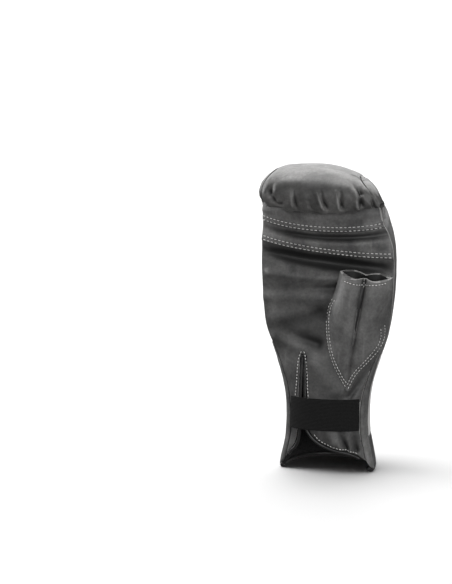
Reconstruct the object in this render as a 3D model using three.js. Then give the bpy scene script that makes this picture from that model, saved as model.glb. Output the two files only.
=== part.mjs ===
import * as THREE from 'three';

// A right-hand bag glove that stands on its cuff: palm to -Y, back of the hand to +Y and thumb to +X

// Driving dimensions of the glove's body, in millimetres
const gloveHeight = 265; // floor to the top of the fist
const handWidth = 114; // across the palm, from side seam to side seam
const handDepth = 98; // front of the hood to the back of the hand
const leather = 2.4; // palm, bands, gussets and cuff: leather with its backing
const knucklePadding = 18; // leather and foam over the knuckles and in the hood
const sidePadding = 8; // leather and foam beside the fist
const liningThickness = 2;
const liningGap = 0.7; // between the lining and the padding that it follows
const pipingGap = 0.7; // between the piping and the flap edges that it binds
const seamGap = 0.35; // between two pieces that are sewn together

// Driving dimensions of the cuff, the strap and the wrist slit
const cuffEndTop = 31; // dark leather end of the cuff
const cuffBandTop = 103; // white band above it
const liningTop = 150;
const rimPipingDiameter = 4.4;
const slitPipingDiameter = 2.4;
const strapBottom = 38;
const strapWidth = 28;
const strapThickness = 1.5;
const slitTop = 104;
const slitAcross = -19; // the slit lies off the middle, towards the little finger
const slitHalfWidth = 4.6; // at the strap's lower edge
const flapCorner = 10; // height of the palm's lower corners

// Driving dimensions of the palm's seams and of the thumb sleeve
const palmCrown = 9; // how far the palm stands out in front of its side seams
const palmFlatness = 3; // power of the palm's curve across: higher is flatter in the middle
const upperSeam = { height: 0.795 * gloveHeight, sag: 6, tilt: -0.9 };
const lowerSeam = { height: 0.722 * gloveHeight, sag: 2.7, tilt: -6 };
const fingerBandTop = 0.89 * gloveHeight; // at the side seams
const fingerBandTuck = 9; // how much higher the band reaches under the hood
const tuckWidth = { full: 0.4, none: 0.75 }; // shares of half the hand's width
const bandBulge = 2.6;
const thumbTip = 0.28 * gloveHeight;
const thumbLength = 0.4 * gloveHeight;
const thumbDepth = 21;
const thumbWall = 1.6;
const thumbPinch = 1.2; // clear space between the two walls where the sleeve is pinched
const thumbValleyWidth = 0.13; // share of the sleeve's width
const thumbEdgeSteepness = 0.55; // power of the sleeve's curve across: lower stands steeper at its edges
const thumbRimSlope = 5; // how much lower the open top is at the thumb's side than at its middle's side

// Driving dimensions of the folds
const seamDip = 1.3;
const seamDipWidth = 0.1; // share of a panel's width over which it dips to its seam
const sideGatherDepth = 2.8;
const hoodGatherDepth = 3.4;
const gatherRidge = 0.3; // height of the ridge between two gathers, as a share of the gather depth
const hoodGatherLength = 3; // stations from the hood's lower edge up to where its gathers end
const sideGatherFade = 0.7; // how much shallower the side gathers are at the hood's lower edge

const halfWidth = handWidth / 2;
const quarterTurn = Math.PI / 2;
const { clamp, lerp, smoothstep } = THREE.MathUtils;

// How strongly a section's skew rounds the thumb's side and squares the little finger's
const thumbRounding = 1.5;
const littleFingerSquaring = 6.5;

// Sections of the body from the mouth of the cuff, up the back, over the knuckles and down to the hood's
// lower edge. back and rise place the outer line, edgeFront and edgeRise the side seam, as shares of depth
// and height. half and shift are shares of half the width, pad and sidePad of the padding, and corner
// squares the section. skew widens and rounds the thumb's side, and narrows and squares the little finger's.
const stations = [
  {
    back: 0.316, rise: 0, edgeFront: 0.184, edgeRise: 0, half: 0.754,
    shift: 0, skew: 0, corner: 2.4, pad: 0, sidePad: 0,
  },
  {
    back: 0.306, rise: 0.053, edgeFront: 0.184, edgeRise: 0.053, half: 0.7,
    shift: 0, skew: 0, corner: 2.4, pad: 0, sidePad: 0,
  },
  {
    back: 0.301, rise: 0.117, edgeFront: 0.184, edgeRise: 0.117, half: 0.642,
    shift: 0, skew: 0, corner: 2.4, pad: 0, sidePad: 0,
  },
  {
    back: 0.306, rise: 0.189, edgeFront: 0.184, edgeRise: 0.189, half: 0.63,
    shift: 0, skew: 0, corner: 2.5, pad: 0, sidePad: 0,
  },
  {
    back: 0.321, rise: 0.272, edgeFront: 0.184, edgeRise: 0.272, half: 0.658,
    shift: 0, skew: 0, corner: 2.5, pad: 0, sidePad: 0,
  },
  {
    back: 0.352, rise: 0.37, edgeFront: 0.19, edgeRise: 0.37, half: 0.785,
    shift: 0, skew: 0, corner: 2.6, pad: 0, sidePad: 0,
  },
  {
    back: 0.41, rise: 0.472, edgeFront: 0.195, edgeRise: 0.472, half: 0.93,
    shift: 0, skew: 0, corner: 2.7, pad: 0.35, sidePad: 0.4,
  },
  {
    back: 0.47, rise: 0.604, edgeFront: 0.19, edgeRise: 0.604, half: 0.991,
    shift: 0, skew: 0, corner: 2.8, pad: 0.7, sidePad: 0.8,
  },
  {
    back: 0.497, rise: 0.736, edgeFront: 0.185, edgeRise: 0.725, half: 1,
    shift: -0.01, skew: 0, corner: 2.8, pad: 0.9, sidePad: 1,
  },
  {
    back: 0.489, rise: 0.838, edgeFront: 0.19, edgeRise: 0.785, half: 0.955,
    shift: -0.06, skew: 0.02, corner: 2.8, pad: 1, sidePad: 1,
  },
  {
    back: 0.397, rise: 0.928, edgeFront: 0.195, edgeRise: 0.823, half: 0.91,
    shift: -0.13, skew: 0.06, corner: 2.7, pad: 1, sidePad: 1,
  },
  {
    back: 0.223, rise: 0.981, edgeFront: 0.2, edgeRise: 0.849, half: 0.9,
    shift: -0.18, skew: 0.095, corner: 2.6, pad: 1, sidePad: 1,
  },
  {
    back: -0.001, rise: 1, edgeFront: 0.205, edgeRise: 0.868, half: 0.905,
    shift: -0.21, skew: 0.115, corner: 2.6, pad: 1, sidePad: 1,
  },
  {
    back: -0.226, rise: 0.996, edgeFront: 0.215, edgeRise: 0.883, half: 0.921,
    shift: -0.2, skew: 0.11, corner: 2.6, pad: 0.9, sidePad: 1,
  },
  {
    back: -0.419, rise: 0.975, edgeFront: 0.231, edgeRise: 0.898, half: 0.939,
    shift: -0.17, skew: 0.09, corner: 2.6, pad: 0.75, sidePad: 0.9,
  },
  {
    back: -0.503, rise: 0.932, edgeFront: 0.251, edgeRise: 0.907, half: 0.939,
    shift: -0.14, skew: 0.06, corner: 2.6, pad: 0.65, sidePad: 0.8,
  },
  {
    back: -0.49, rise: 0.883, edgeFront: 0.282, edgeRise: 0.913, half: 0.921,
    shift: -0.11, skew: 0.03, corner: 2.6, pad: 0.35, sidePad: 0.6,
  },
  {
    back: -0.425, rise: 0.859, edgeFront: 0.312, edgeRise: 0.914, half: 0.877,
    shift: -0.09, skew: 0.01, corner: 2.5, pad: 0.1, sidePad: 0.3,
  },
];
const lastStation = stations.length - 1;
const topStation = 12;

// Radians round the section from the middle to the panel seams: the centre panel widens over the hood
const panelSeamAngle = { back: 0.7, hood: 1.08 };
const widening = { from: 12, to: 16.5 }; // stations

// Gathers of the side panels where they turn round the fist: station, and share of the gather depth
const sideGathers = [
  { at: 9.1, depth: 0.5 },
  { at: 9.9, depth: 0.8 },
  { at: 10.7, depth: 1 },
  { at: 11.5, depth: 0.85 },
  { at: 12.3, depth: 1 },
  { at: 13.1, depth: 0.8 },
  { at: 14, depth: 1 },
  { at: 15, depth: 0.9 },
  { at: 16, depth: 0.7 },
];

// Gathers of the hood's lower edge: share across the centre panel, and share of the gather depth
const hoodGathers = [
  { across: -0.62, depth: 1 },
  { across: -0.31, depth: 0.9 },
  { across: -0.05, depth: 0.7 },
  { across: 0.21, depth: 0.8 },
  { across: 0.46, depth: 0.9 },
  { across: 0.76, depth: 0.7 },
];

// The palm's relief at the middle: share of the height, and share of the palm's crown
const palmRelief = [
  { rise: 0, crown: 0.6 },
  { rise: 0.12, crown: 0.75 },
  { rise: 0.25, crown: 0.85 },
  { rise: 0.4, crown: 0.8 },
  { rise: 0.5, crown: 0.7 },
  { rise: 0.6, crown: 0.72 },
  { rise: 0.64, crown: 0.55 },
  { rise: 0.68, crown: 0.6 },
  { rise: 0.71, crown: 0.42 },
  { rise: 0.745, crown: 0.75 },
  { rise: 0.8, crown: 0.95 },
  { rise: 0.85, crown: 1.1 },
  { rise: 0.9, crown: 1.15 },
];

// Gusset between the palm's edge and the cuff: share of the height, and its run across and drop forward as
// shares of the wrist's half width
const gussetRows = [
  { rise: 0.02, run: 0.13, drop: 0.2 },
  { rise: 0.12, run: 0.15, drop: 0.25 },
  { rise: 0.22, run: 0.15, drop: 0.28 },
  { rise: 0.32, run: 0.11, drop: 0.2 },
  { rise: 0.42, run: 0.05, drop: 0.1 },
];
const wristHalfWidth = halfWidth * stations[3].half;

// Edge of a palm flap below the strap: share across from the slit to the side, and share of the drop to the
// corner
const flapEdge = [
  { across: 0, drop: 0 },
  { across: 0.11, drop: 0.25 },
  { across: 0.26, drop: 0.44 },
  { across: 0.48, drop: 0.59 },
  { across: 0.74, drop: 0.68 },
  { across: 0.9, drop: 0.8 },
  { across: 1, drop: 1 },
];

// Thumb sleeve from its tip up to its open top: share of its length, edges as shares of half the hand's
// width, and how far it stands out and lifts off the palm at its edges, as shares of its depth
const thumbRows = [
  { rise: 0, left: 0.33, right: 0.4, bulge: 0.15, lift: 0, valley: 0.1 },
  { rise: 0.08, left: 0.265, right: 0.46, bulge: 0.25, lift: 0, valley: 0.3 },
  { rise: 0.2, left: 0.13, right: 0.62, bulge: 0.45, lift: 0, valley: 0.4 },
  { rise: 0.33, left: 0.045, right: 0.82, bulge: 0.68, lift: 0, valley: 0.45 },
  { rise: 0.46, left: 0.012, right: 0.93, bulge: 0.84, lift: 0.03, valley: 0.5 },
  { rise: 0.58, left: 0.01, right: 0.965, bulge: 0.93, lift: 0.08, valley: 0.58 },
  { rise: 0.7, left: 0.065, right: 0.98, bulge: 0.98, lift: 0.15, valley: 0.68 },
  { rise: 0.81, left: 0.14, right: 0.99, bulge: 1, lift: 0.22, valley: 0.8 },
  { rise: 0.91, left: 0.19, right: 1.0, bulge: 1, lift: 0.28, valley: 0.9 },
  { rise: 1, left: 0.227, right: 1.015, bulge: 1, lift: 0.32, valley: 1 },
];
const thumbBackFrom = 0.62; // share of the sleeve's length above which it has a back wall of its own
const thumbRimTilt = 0.3; // how much lower the front of the open top is, as a share of the sleeve's depth

const finishes = {
  leather: { color: '#4d4e4f', roughness: 0.55, metalness: 0 },
  backLeather: { color: '#5b5c5c', roughness: 0.5, metalness: 0 },
  whiteLeather: { color: '#e9e9e6', roughness: 0.5, metalness: 0 },
  piping: { color: '#1d1e20', roughness: 0.35, metalness: 0 },
  elastic: { color: '#151516', roughness: 0.9, metalness: 0 },
  lining: { color: '#111112', roughness: 0.95, metalness: 0 },
};

// Value of one column between two rows, on a smooth curve through the rows
function between(a, b, c, d, share) {
  const linear = c - a;
  const square = 2 * a - 5 * b + 4 * c - d;
  const cube = 3 * (b - c) + d - a;
  return b + 0.5 * share * (linear + share * (square + share * cube));
}

function columnAt(rows, column, position) {
  const last = rows.length - 1;
  const index = clamp(Math.floor(position), 0, last - 1);
  const near = [-1, 0, 1, 2].map((step) => rows[clamp(index + step, 0, last)][column]);
  return between(...near, position - index);
}

// Straight-line value of a column, looked up by the value of another column
function lookUp(rows, keyColumn, column, key) {
  const next = clamp(rows.findIndex((row) => row[keyColumn] >= key), 1, rows.length - 1);
  const after = key > rows.at(-1)[keyColumn] ? rows.length - 1 : next;
  const [low, high] = [rows[after - 1], rows[after]];
  const share = clamp((key - low[keyColumn]) / (high[keyColumn] - low[keyColumn]), 0, 1);
  return lerp(low[column], high[column], share);
}

// Station whose column, which rises from the first station to the last one given, has the value
function stationWhere(column, value, last) {
  let [low, high] = [0, last];
  for (let step = 0; step < 40; step += 1) {
    const middle = (low + high) / 2;
    if (columnAt(stations, column, middle) < value) low = middle;
    else high = middle;
  }
  return (low + high) / 2;
}

const stationAtHeight = (height) => stationWhere('rise', height / gloveHeight, topStation);
const stationAtSeam = (height) => stationWhere('edgeRise', height / gloveHeight, lastStation);

function sectionAt(position) {
  const share = (column) => columnAt(stations, column, position);
  const outer = new THREE.Vector2(handDepth * share('back'), gloveHeight * share('rise'));
  const edge = new THREE.Vector2(-handDepth * share('edgeFront'), gloveHeight * share('edgeRise'));
  return {
    outer,
    edge,
    inward: edge.clone().sub(outer).normalize(),
    depth: outer.distanceTo(edge),
    half: halfWidth * share('half'),
    shift: halfWidth * share('shift'),
    skew: share('skew'),
    corner: share('corner'),
    seamAngle: lerp(
      panelSeamAngle.back,
      panelSeamAngle.hood,
      smoothstep(position, widening.from, widening.to),
    ),
    backWall: leather + (knucklePadding - leather) * share('pad'),
    sideWall: leather + (sidePadding - leather) * share('sidePad'),
  };
}

// Point of a section, angle radians round from the middle of the back, inset by a wall
function bodyPoint(section, angle, { back = 0, side = 0 }) {
  const [sine, cosine] = [Math.sin(angle), Math.cos(angle)];
  const hand = Math.sign(angle);
  const squaring = hand > 0 ? -thumbRounding : littleFingerSquaring;
  const corner = section.corner * (1 + squaring * section.skew);
  const reach = (Math.abs(sine) ** corner + Math.abs(cosine) ** corner) ** (-1 / corner);
  const across = (section.half * (1 + hand * section.skew) - side) * sine * reach;
  const down = back + (section.depth - back) * (1 - cosine * reach);
  return new THREE.Vector3(
    section.shift + across,
    section.outer.x + section.inward.x * down,
    section.outer.y + section.inward.y * down,
  );
}

// Closed wall between an outer and an inner grid of points: cells join neighbours and open edges get a rim
function thickSheet({ rows, columns, outer, inner, cell = () => true }) {
  const points = [];
  const known = new Map();
  const indexOf = (point) => {
    const key = point.toArray().map((value) => value.toFixed(3)).join();
    if (!known.has(key)) known.set(key, points.push(point) - 1);
    return known.get(key);
  };
  const grid = (place) => rows.map((row) => columns.map((column) => indexOf(place(row, column))));
  const [outside, inside] = [grid(outer), grid(inner)];
  const opposite = new Map();
  outside.forEach((line, i) => line.forEach((index, j) => opposite.set(index, inside[i][j])));
  const triangles = [];
  const addTriangle = (a, b, c) => {
    if (a !== b && b !== c && c !== a) triangles.push([a, b, c]);
  };
  for (let i = 0; i < rows.length - 1; i += 1) {
    for (let j = 0; j < columns.length - 1; j += 1) {
      if (!cell(rows[i], rows[i + 1], columns[j], columns[j + 1])) continue;
      const corners = (side) => [side[i][j], side[i][j + 1], side[i + 1][j + 1], side[i + 1][j]];
      const [a, b, c, d] = corners(outside);
      addTriangle(a, b, c);
      addTriangle(a, c, d);
    }
  }
  const edgesOf = ([a, b, c]) => [`${a},${b}`, `${b},${c}`, `${c},${a}`];
  const directed = new Set(triangles.flatMap(edgesOf));
  const shell = triangles.slice();
  shell.forEach(([a, b, c]) => addTriangle(opposite.get(c), opposite.get(b), opposite.get(a)));
  directed.forEach((edge) => {
    const [a, b] = edge.split(',').map(Number);
    if (directed.has(`${b},${a}`)) return;
    addTriangle(b, a, opposite.get(a));
    addTriangle(b, opposite.get(a), opposite.get(b));
  });
  return outwardGeometry(points, triangles);
}

function outwardGeometry(points, triangles) {
  const signedVolume = ([a, b, c]) => points[a].dot(points[b].clone().cross(points[c]));
  const outward = triangles.reduce((sum, triangle) => sum + signedVolume(triangle), 0) > 0;
  const ordered = outward ? triangles : triangles.map(([a, b, c]) => [a, c, b]);
  const places = points.flatMap((point) => point.toArray());
  const geometry = new THREE.BufferGeometry();
  geometry.setAttribute('position', new THREE.Float32BufferAttribute(places, 3));
  geometry.setIndex(ordered.flat());
  return geometry;
}

// Count + 1 evenly spaced values
const spaced = (from, to, count) => Array.from({ length: count + 1 }, (_, i) => lerp(from, to, i / count));

// Each gather's place, and the ridges half-way between gathers
function gatherLines(places) {
  return places.flatMap((place, i) => (i === 0 ? [place] : [(places[i - 1] + place) / 2, place]));
}

// Depth of the fold at a place along a row of gathers: deep on a gather, and slightly raised between two
function gatherFold(gathers, column, place) {
  const reach = Math.abs(gathers[1][column] - gathers[0][column]) / 2;
  return gathers.reduce((fold, gather) => {
    const near = 1 - smoothstep(Math.abs(place - gather[column]), 0, reach);
    return Math.min(fold, gatherRidge - (gatherRidge + gather.depth) * near);
  }, gatherRidge);
}

const panelStart = stationAtHeight(cuffBandTop + seamGap);

// The three panels share their rows, so that their seams run side by side
const panelRows = [
  ...spaced(panelStart, sideGathers[0].at, 6).slice(0, -1),
  ...gatherLines(sideGathers.map((gather) => gather.at)),
  lerp(sideGathers.at(-1).at, lastStation, 0.5),
  lastStation,
];

function panelInside(section, angle) {
  return bodyPoint(section, angle, { back: section.backWall, side: section.sideWall });
}

// Outer point of a panel, raised by a fold straight away from its inner point
function panelOutside(section, angle, fold) {
  const point = bodyPoint(section, angle, {});
  const outward = point.clone().sub(panelInside(section, angle)).normalize();
  return point.addScaledVector(outward, fold);
}

// Half of a panel seam's gap, as an angle
function seamStep(section) {
  const reach = Math.min(section.half - section.sideWall, section.depth - section.backWall);
  return seamGap / (2 * reach);
}

function centrePanel() {
  const angleOf = (section, across) => across * (section.seamAngle - seamStep(section));
  const fold = (position, across) => {
    const front = smoothstep(position, lastStation - hoodGatherLength, lastStation - 0.8);
    const edge = smoothstep(Math.abs(across), 1 - seamDipWidth, 1);
    const depth = hoodGatherDepth * front * (1 - edge);
    return depth * gatherFold(hoodGathers, 'across', across) - seamDip * edge;
  };
  return thickSheet({
    rows: panelRows.map((position) => ({ position, section: sectionAt(position) })),
    columns: [-1, -0.82, ...gatherLines(hoodGathers.map((gather) => gather.across)), 0.9, 1],
    outer: ({ position, section }, across) =>
      panelOutside(section, angleOf(section, across), fold(position, across)),
    inner: ({ section }, across) => panelInside(section, angleOf(section, across)),
  });
}

// A side panel: hand is 1 on the thumb's side and -1 on the little finger's
function sidePanel(hand) {
  const angleOf = (section, share) => hand * lerp(section.seamAngle + seamStep(section), quarterTurn, share);
  const fold = (position, share) => {
    const begun = smoothstep(position, sideGathers[0].at - 0.5, sideGathers[1].at);
    const faded = 1 - sideGatherFade * smoothstep(position, lastStation - hoodGatherLength, lastStation);
    const depth = sideGatherDepth * begun * faded * smoothstep(share, 0, 1);
    const edge = 1 - smoothstep(share, 0, 1.5 * seamDipWidth);
    return depth * gatherFold(sideGathers, 'at', position) - seamDip * edge;
  };
  return thickSheet({
    rows: panelRows.map((position) => ({ position, section: sectionAt(position) })),
    columns: spaced(0, 1, 6),
    outer: ({ position, section }, share) =>
      panelOutside(section, angleOf(section, share), fold(position, share)),
    inner: ({ section }, share) => panelInside(section, angleOf(section, share)),
  });
}

// A band of the cuff between two heights
function cuffPiece(bottom, top, rowCount) {
  return thickSheet({
    rows: spaced(bottom, top, rowCount).map(stationAtHeight),
    columns: spaced(-quarterTurn, quarterTurn, 24),
    outer: (position, angle) => bodyPoint(sectionAt(position), angle, {}),
    inner: (position, angle) => bodyPoint(sectionAt(position), angle, { back: leather, side: leather }),
  });
}

// Middle of the six-sided rim piping above the floor
const rimHeight = (rimPipingDiameter / 2) * Math.cos(Math.PI / 6);
const rimTop = 2 * rimHeight + seamGap;

function lining() {
  const inset = (position, depth) => {
    const section = sectionAt(position);
    return { back: section.backWall + depth, side: section.sideWall + depth };
  };
  const layer = (depth) => (position, angle) =>
    bodyPoint(sectionAt(position), angle, inset(position, depth));
  return thickSheet({
    rows: spaced(rimTop, liningTop, 8).map(stationAtHeight),
    columns: spaced(-quarterTurn, quarterTurn, 20),
    outer: layer(liningGap),
    inner: layer(liningGap + liningThickness),
  });
}

// Where the palm's edge lies at a height: below the gusset's top it steps in and forward of the side seam
const gussetTop = gloveHeight * gussetRows.at(-1).rise;
const palmFlange = 0.8; // how far the palm's edge stands beyond the side panels

function sideSeamAt(height, hand) {
  const section = sectionAt(stationAtSeam(Math.min(height, fingerBandTop)));
  return { x: section.shift + hand * section.half * (1 + hand * section.skew), y: section.edge.x };
}

function gussetAt(height) {
  const share = (column) => lookUp(gussetRows, 'rise', column, height / gloveHeight);
  return { run: wristHalfWidth * share('run'), drop: wristHalfWidth * share('drop') };
}

function palmEdgeAt(height, hand) {
  const seam = sideSeamAt(height, hand);
  const { run, drop } = gussetAt(height);
  const joined = smoothstep(height, gussetTop, gussetTop + palmCrown);
  return {
    x: seam.x + hand * lerp(-run - seamGap, palmFlange, joined),
    y: seam.y - seamGap - lerp(drop, leather, joined),
  };
}

function palmAcross(share, height) {
  return lerp(palmEdgeAt(height, -1).x, palmEdgeAt(height, 1).x, (share + 1) / 2);
}

// Front of the palm at a place across it and a height
function palmFront(x, height) {
  const [little, thumb] = [palmEdgeAt(height, -1), palmEdgeAt(height, 1)];
  const across = clamp((2 * x - little.x - thumb.x) / (thumb.x - little.x), -1, 1);
  const crown = palmCrown * lookUp(palmRelief, 'rise', 'crown', height / gloveHeight);
  return thumb.y - crown * (1 - Math.abs(across) ** palmFlatness);
}

function palmPoint(x, height, depth) {
  return new THREE.Vector3(x, palmFront(x, height) + depth, height);
}

function seamHeight(seam, x) {
  const across = x / halfWidth;
  return seam.height + seam.sag * across ** 2 + seam.tilt * across;
}

// A finger band between two lines across the palm, raised in the middle of its height
function fingerBand(lowerLine, upperLine) {
  const place = (share, across, depth, bulge) => {
    const guess = across * halfWidth;
    const height = lerp(lowerLine(guess), upperLine(guess), share);
    const point = palmPoint(palmAcross(across, height), height, depth);
    point.y -= bulge * Math.sin(Math.PI * share) * (1 - Math.abs(across) ** palmFlatness);
    return point;
  };
  return thickSheet({
    rows: spaced(0, 1, 5),
    columns: spaced(-1, 1, 18),
    outer: (share, across) => place(share, across, 0, bandBulge),
    inner: (share, across) => place(share, across, leather, bandBulge),
  });
}

const lineAt = (seam, offset) => (x) => seamHeight(seam, x) + offset;

function lowerFingerBand() {
  return fingerBand(lineAt(lowerSeam, seamGap / 2), lineAt(upperSeam, -seamGap / 2));
}

function upperFingerBand() {
  const tuck = (x) => 1 - smoothstep(Math.abs(x) / halfWidth, tuckWidth.full, tuckWidth.none);
  return fingerBand(lineAt(upperSeam, seamGap / 2), (x) => fingerBandTop + fingerBandTuck * tuck(x));
}

// The wrist slit: two lips that part below a round end, then run out along the flaps
const slitPipingRadius = slitPipingDiameter / 2;
const slitTurn = slitPipingRadius + seamGap / 2; // the piping's two sides almost touch
const slitEndRadius = slitTurn + slitPipingRadius + pipingGap;
const slitEndMiddle = slitTop - slitEndRadius;

function lipHalfWidth(height) {
  const intoEnd = height - slitEndMiddle;
  if (intoEnd >= 0) return Math.sqrt(Math.max(slitEndRadius ** 2 - intoEnd ** 2, 0));
  return lerp(slitHalfWidth, slitEndRadius, smoothstep(height, strapBottom, slitEndMiddle));
}

function flapEdgeHeight(share) {
  return lerp(strapBottom, flapCorner, lookUp(flapEdge, 'across', 'drop', share));
}

// Columns of the palm panel: side is -1 for the little finger's flap and 1 for the thumb's, and share runs
// from the slit to the side
const thumbFlapShares = [0, ...gatherLines(flapEdge.slice(1).map((point) => point.across))];
const palmColumns = [
  ...spaced(1, 0, 4).map((share) => ({ side: -1, share })),
  ...thumbFlapShares.map((share) => ({ side: 1, share })),
];
const flapShares = [1, 0.66, 0.33];
const slitEndShares = [0.5, 0.87, 1];
const slitHeights = [
  ...spaced(strapBottom, slitEndMiddle, 5),
  ...slitEndShares.map((share) => slitEndMiddle + share * slitEndRadius),
];
const wholePalm = Math.max(slitTop, gussetTop); // above it the palm is whole and joins the side panels
const palmRows = [
  ...flapShares.map((flap) => ({ flap })),
  ...slitHeights.map((height) => ({ height })),
  ...spaced(0, 1, 8).map((upper) => ({ upper })),
];

// Thumb hole in the palm, behind the sleeve: shares of the whole palm's height, and across to the side
const thumbHole = { bottom: 0, top: 0.5, near: 0.4, far: 0.75 };

function palmPanel() {
  const topLine = (x) => seamHeight(lowerSeam, x) - seamGap / 2;
  const heightOf = ({ flap, height, upper }, x, share) => {
    if (flap) return lerp(strapBottom, flapEdgeHeight(share), flap);
    return upper === undefined ? height : lerp(wholePalm, topLine(x), upper);
  };
  const place = (row, { side, share }, depth) => {
    const level = row.flap ? strapBottom : heightOf(row, slitAcross, share);
    const lip = slitAcross + side * lipHalfWidth(level);
    const guess = lerp(lip, palmEdgeAt(level, side).x, share);
    const height = heightOf(row, guess, share);
    return palmPoint(lerp(lip, palmEdgeAt(height, side).x, share), height, depth);
  };
  const cell = (low, high, from, to) => {
    if (from.side !== to.side) return false;
    const middle = (from.share + to.share) / 2;
    const holeHeight = low.upper >= thumbHole.bottom && high.upper <= thumbHole.top;
    return !(holeHeight && to.side > 0 && middle > thumbHole.near && middle < thumbHole.far);
  };
  return thickSheet({
    rows: palmRows,
    columns: palmColumns,
    outer: (row, column) => place(row, column, 0),
    inner: (row, column) => place(row, column, leather),
    cell,
  });
}

// A gusset between the cuff and the palm's edge, rounded forward
const rimRise = (share) => lerp(rimTop, flapCorner, share ** 2); // lower edge of a gusset
const palmHeights = [...flapShares.map((flap) => lerp(strapBottom, flapCorner, flap)), ...slitHeights];

function gussetPoint(hand, height, share, wall) {
  const seam = sideSeamAt(height, hand);
  const { run, drop } = gussetAt(height);
  const turn = share * quarterTurn;
  const inset = wall + (run - wall) * (1 - Math.cos(turn));
  const y = seam.y - seamGap - Math.max(drop - wall, 0) * Math.sin(turn);
  return new THREE.Vector3(seam.x - hand * inset, y, height);
}

function gusset(hand) {
  const heightOf = (height, share) => (height === rimTop ? rimRise(share) : height);
  return thickSheet({
    rows: [rimTop, ...palmHeights.filter((height) => height < gussetTop), gussetTop],
    columns: spaced(0, 1, 4),
    outer: (height, share) => gussetPoint(hand, heightOf(height, share), share, 0),
    inner: (height, share) =>
      gussetPoint(hand, heightOf(height, share), share, Math.min(leather, gussetAt(height).run)),
  });
}

const strapTop = strapBottom + strapWidth;

function wristStrap() {
  const heights = spaced(strapBottom, strapTop, 4);
  const clearance = slitPipingRadius - leather / 2 + seamGap;
  const front = (across) => Math.min(
    ...heights.map((height) => palmFront(palmAcross(across, height), height)),
  ) - clearance;
  const place = (height, across, depth) => {
    const x = palmAcross(across, strapBottom + strapWidth / 2);
    return new THREE.Vector3(x, front(across) - depth, height);
  };
  return thickSheet({
    rows: [strapBottom, strapTop],
    columns: spaced(-1, 1, 18),
    outer: (height, across) => place(height, across, strapThickness),
    inner: (height, across) => place(height, across, 0),
  });
}

// Thumb sleeve: front columns run across at share 0 to 1, back columns return at share 1 to 2
function thumbSleeve() {
  const sectionOf = (rise) => {
    const share = (column) => lookUp(thumbRows, 'rise', column, rise);
    const pinched = 2 * thumbWall + thumbPinch;
    return {
      left: halfWidth * share('left'),
      right: halfWidth * share('right'),
      height: thumbTip + thumbLength * rise,
      bulge: Math.max(thumbDepth * share('bulge'), pinched),
      lift: thumbDepth * share('lift'),
      valley: share('valley'),
      pinched,
    };
  };
  const edgeShape = (share) => Math.sin(Math.PI * share) ** thumbEdgeSteepness;
  const valleyShape = (share) => Math.exp(-(((share - 0.5) / thumbValleyWidth) ** 2));
  const backLift = (section, share) => {
    const atEdge = Math.abs(2 * share - 1) ** 4;
    return section.lift * Math.max(atEdge, valleyShape(share) * section.valley);
  };
  const frontLift = (section, share) => {
    const crease = 1 - 0.5 * section.valley * valleyShape(share);
    const lobes = section.lift + (section.bulge - section.lift) * edgeShape(share) * crease;
    const pinched = lerp(section.lift, backLift(section, share) + section.pinched, edgeShape(share));
    return Math.max(lobes, pinched);
  };
  const place = (rise, column, wall) => {
    const section = sectionOf(rise);
    const onFront = column <= 1;
    const share = onFront ? column : 2 - column;
    const x = lerp(section.left + wall, section.right - wall, share);
    const [near, far] = [backLift(section, share), frontLift(section, share)];
    const inner = lerp((near + far) / 2, onFront ? far - wall : near + wall, edgeShape(share));
    const out = wall ? inner : lerp(near, far, onFront ? 1 : 0);
    const height = section.height - out * thumbRimTilt * rise - thumbRimSlope * share * rise ** 3;
    return new THREE.Vector3(x, palmFront(x, section.height) - seamGap - out, height);
  };
  return thickSheet({
    rows: thumbRows.map((row) => row.rise),
    columns: [...spaced(0, 1, 16), ...spaced(1, 2, 8).slice(1)],
    outer: (rise, column) => place(rise, column, 0),
    inner: (rise, column) => place(rise, column, thumbWall),
    cell: (low, high, from) => from < 1 || low > thumbBackFrom,
  });
}

// Path whose steps keep to its own points, with the same side of its section facing one way all along
class SewnPath extends THREE.CatmullRomCurve3 {
  constructor(points, facing) {
    super(points);
    this.facing = facing;
  }

  getUtoTmapping(share) {
    return share;
  }

  computeFrenetFrames(steps) {
    const tangents = spaced(0, 1, steps).map((share) => this.getTangentAt(share));
    const binormals = tangents.map((tangent) => this.facing.clone().projectOnPlane(tangent).normalize());
    const normals = tangents.map((tangent, i) => binormals[i].clone().cross(tangent));
    return { tangents, normals, binormals };
  }
}

const floorward = new THREE.Vector3(0, 0, -1);
const palmward = new THREE.Vector3(0, -1, 0);

// Six-sided piping along points, with a flat side facing one way
function piping(points, diameter, facing) {
  const corners = spaced(0, 5, 5).map((side) => {
    const angle = side * (Math.PI / 3);
    return new THREE.Vector2(Math.cos(angle), Math.sin(angle)).multiplyScalar(diameter / 2);
  });
  const extrudePath = new SewnPath(points, facing);
  return new THREE.ExtrudeGeometry(new THREE.Shape(corners), { steps: points.length - 1, extrudePath });
}

const gussetRimShares = [0.3, 0.55, 0.8]; // places across a gusset's lower edge that the rim piping passes

// Rim of the cuff from corner to corner round the back, level on the floor
function rimPiping() {
  const section = sectionAt(stationAtHeight(rimTop));
  const middle = (leather + liningGap + liningThickness) / 2;
  const backRim = spaced(-quarterTurn, quarterTurn, 26).map((angle) => {
    const point = bodyPoint(section, angle, { back: middle, side: middle });
    point.z = rimHeight;
    return point;
  });
  const gussetRim = (hand) => gussetRimShares.map((share) => {
    const point = gussetPoint(hand, rimRise(share), share, middle);
    point.z = Math.max(rimHeight, point.z - (1 + share) * (rimTop - rimHeight));
    return point;
  });
  return piping([...gussetRim(-1).reverse(), ...backRim, ...gussetRim(1)], rimPipingDiameter, floorward);
}

const flapPiping = { from: 0.93, to: 0.04, steps: 14 }; // shares of a flap's edge, from corner to slit
const slopeStep = 0.03; // share to either side over which the edge's slope is taken

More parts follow.
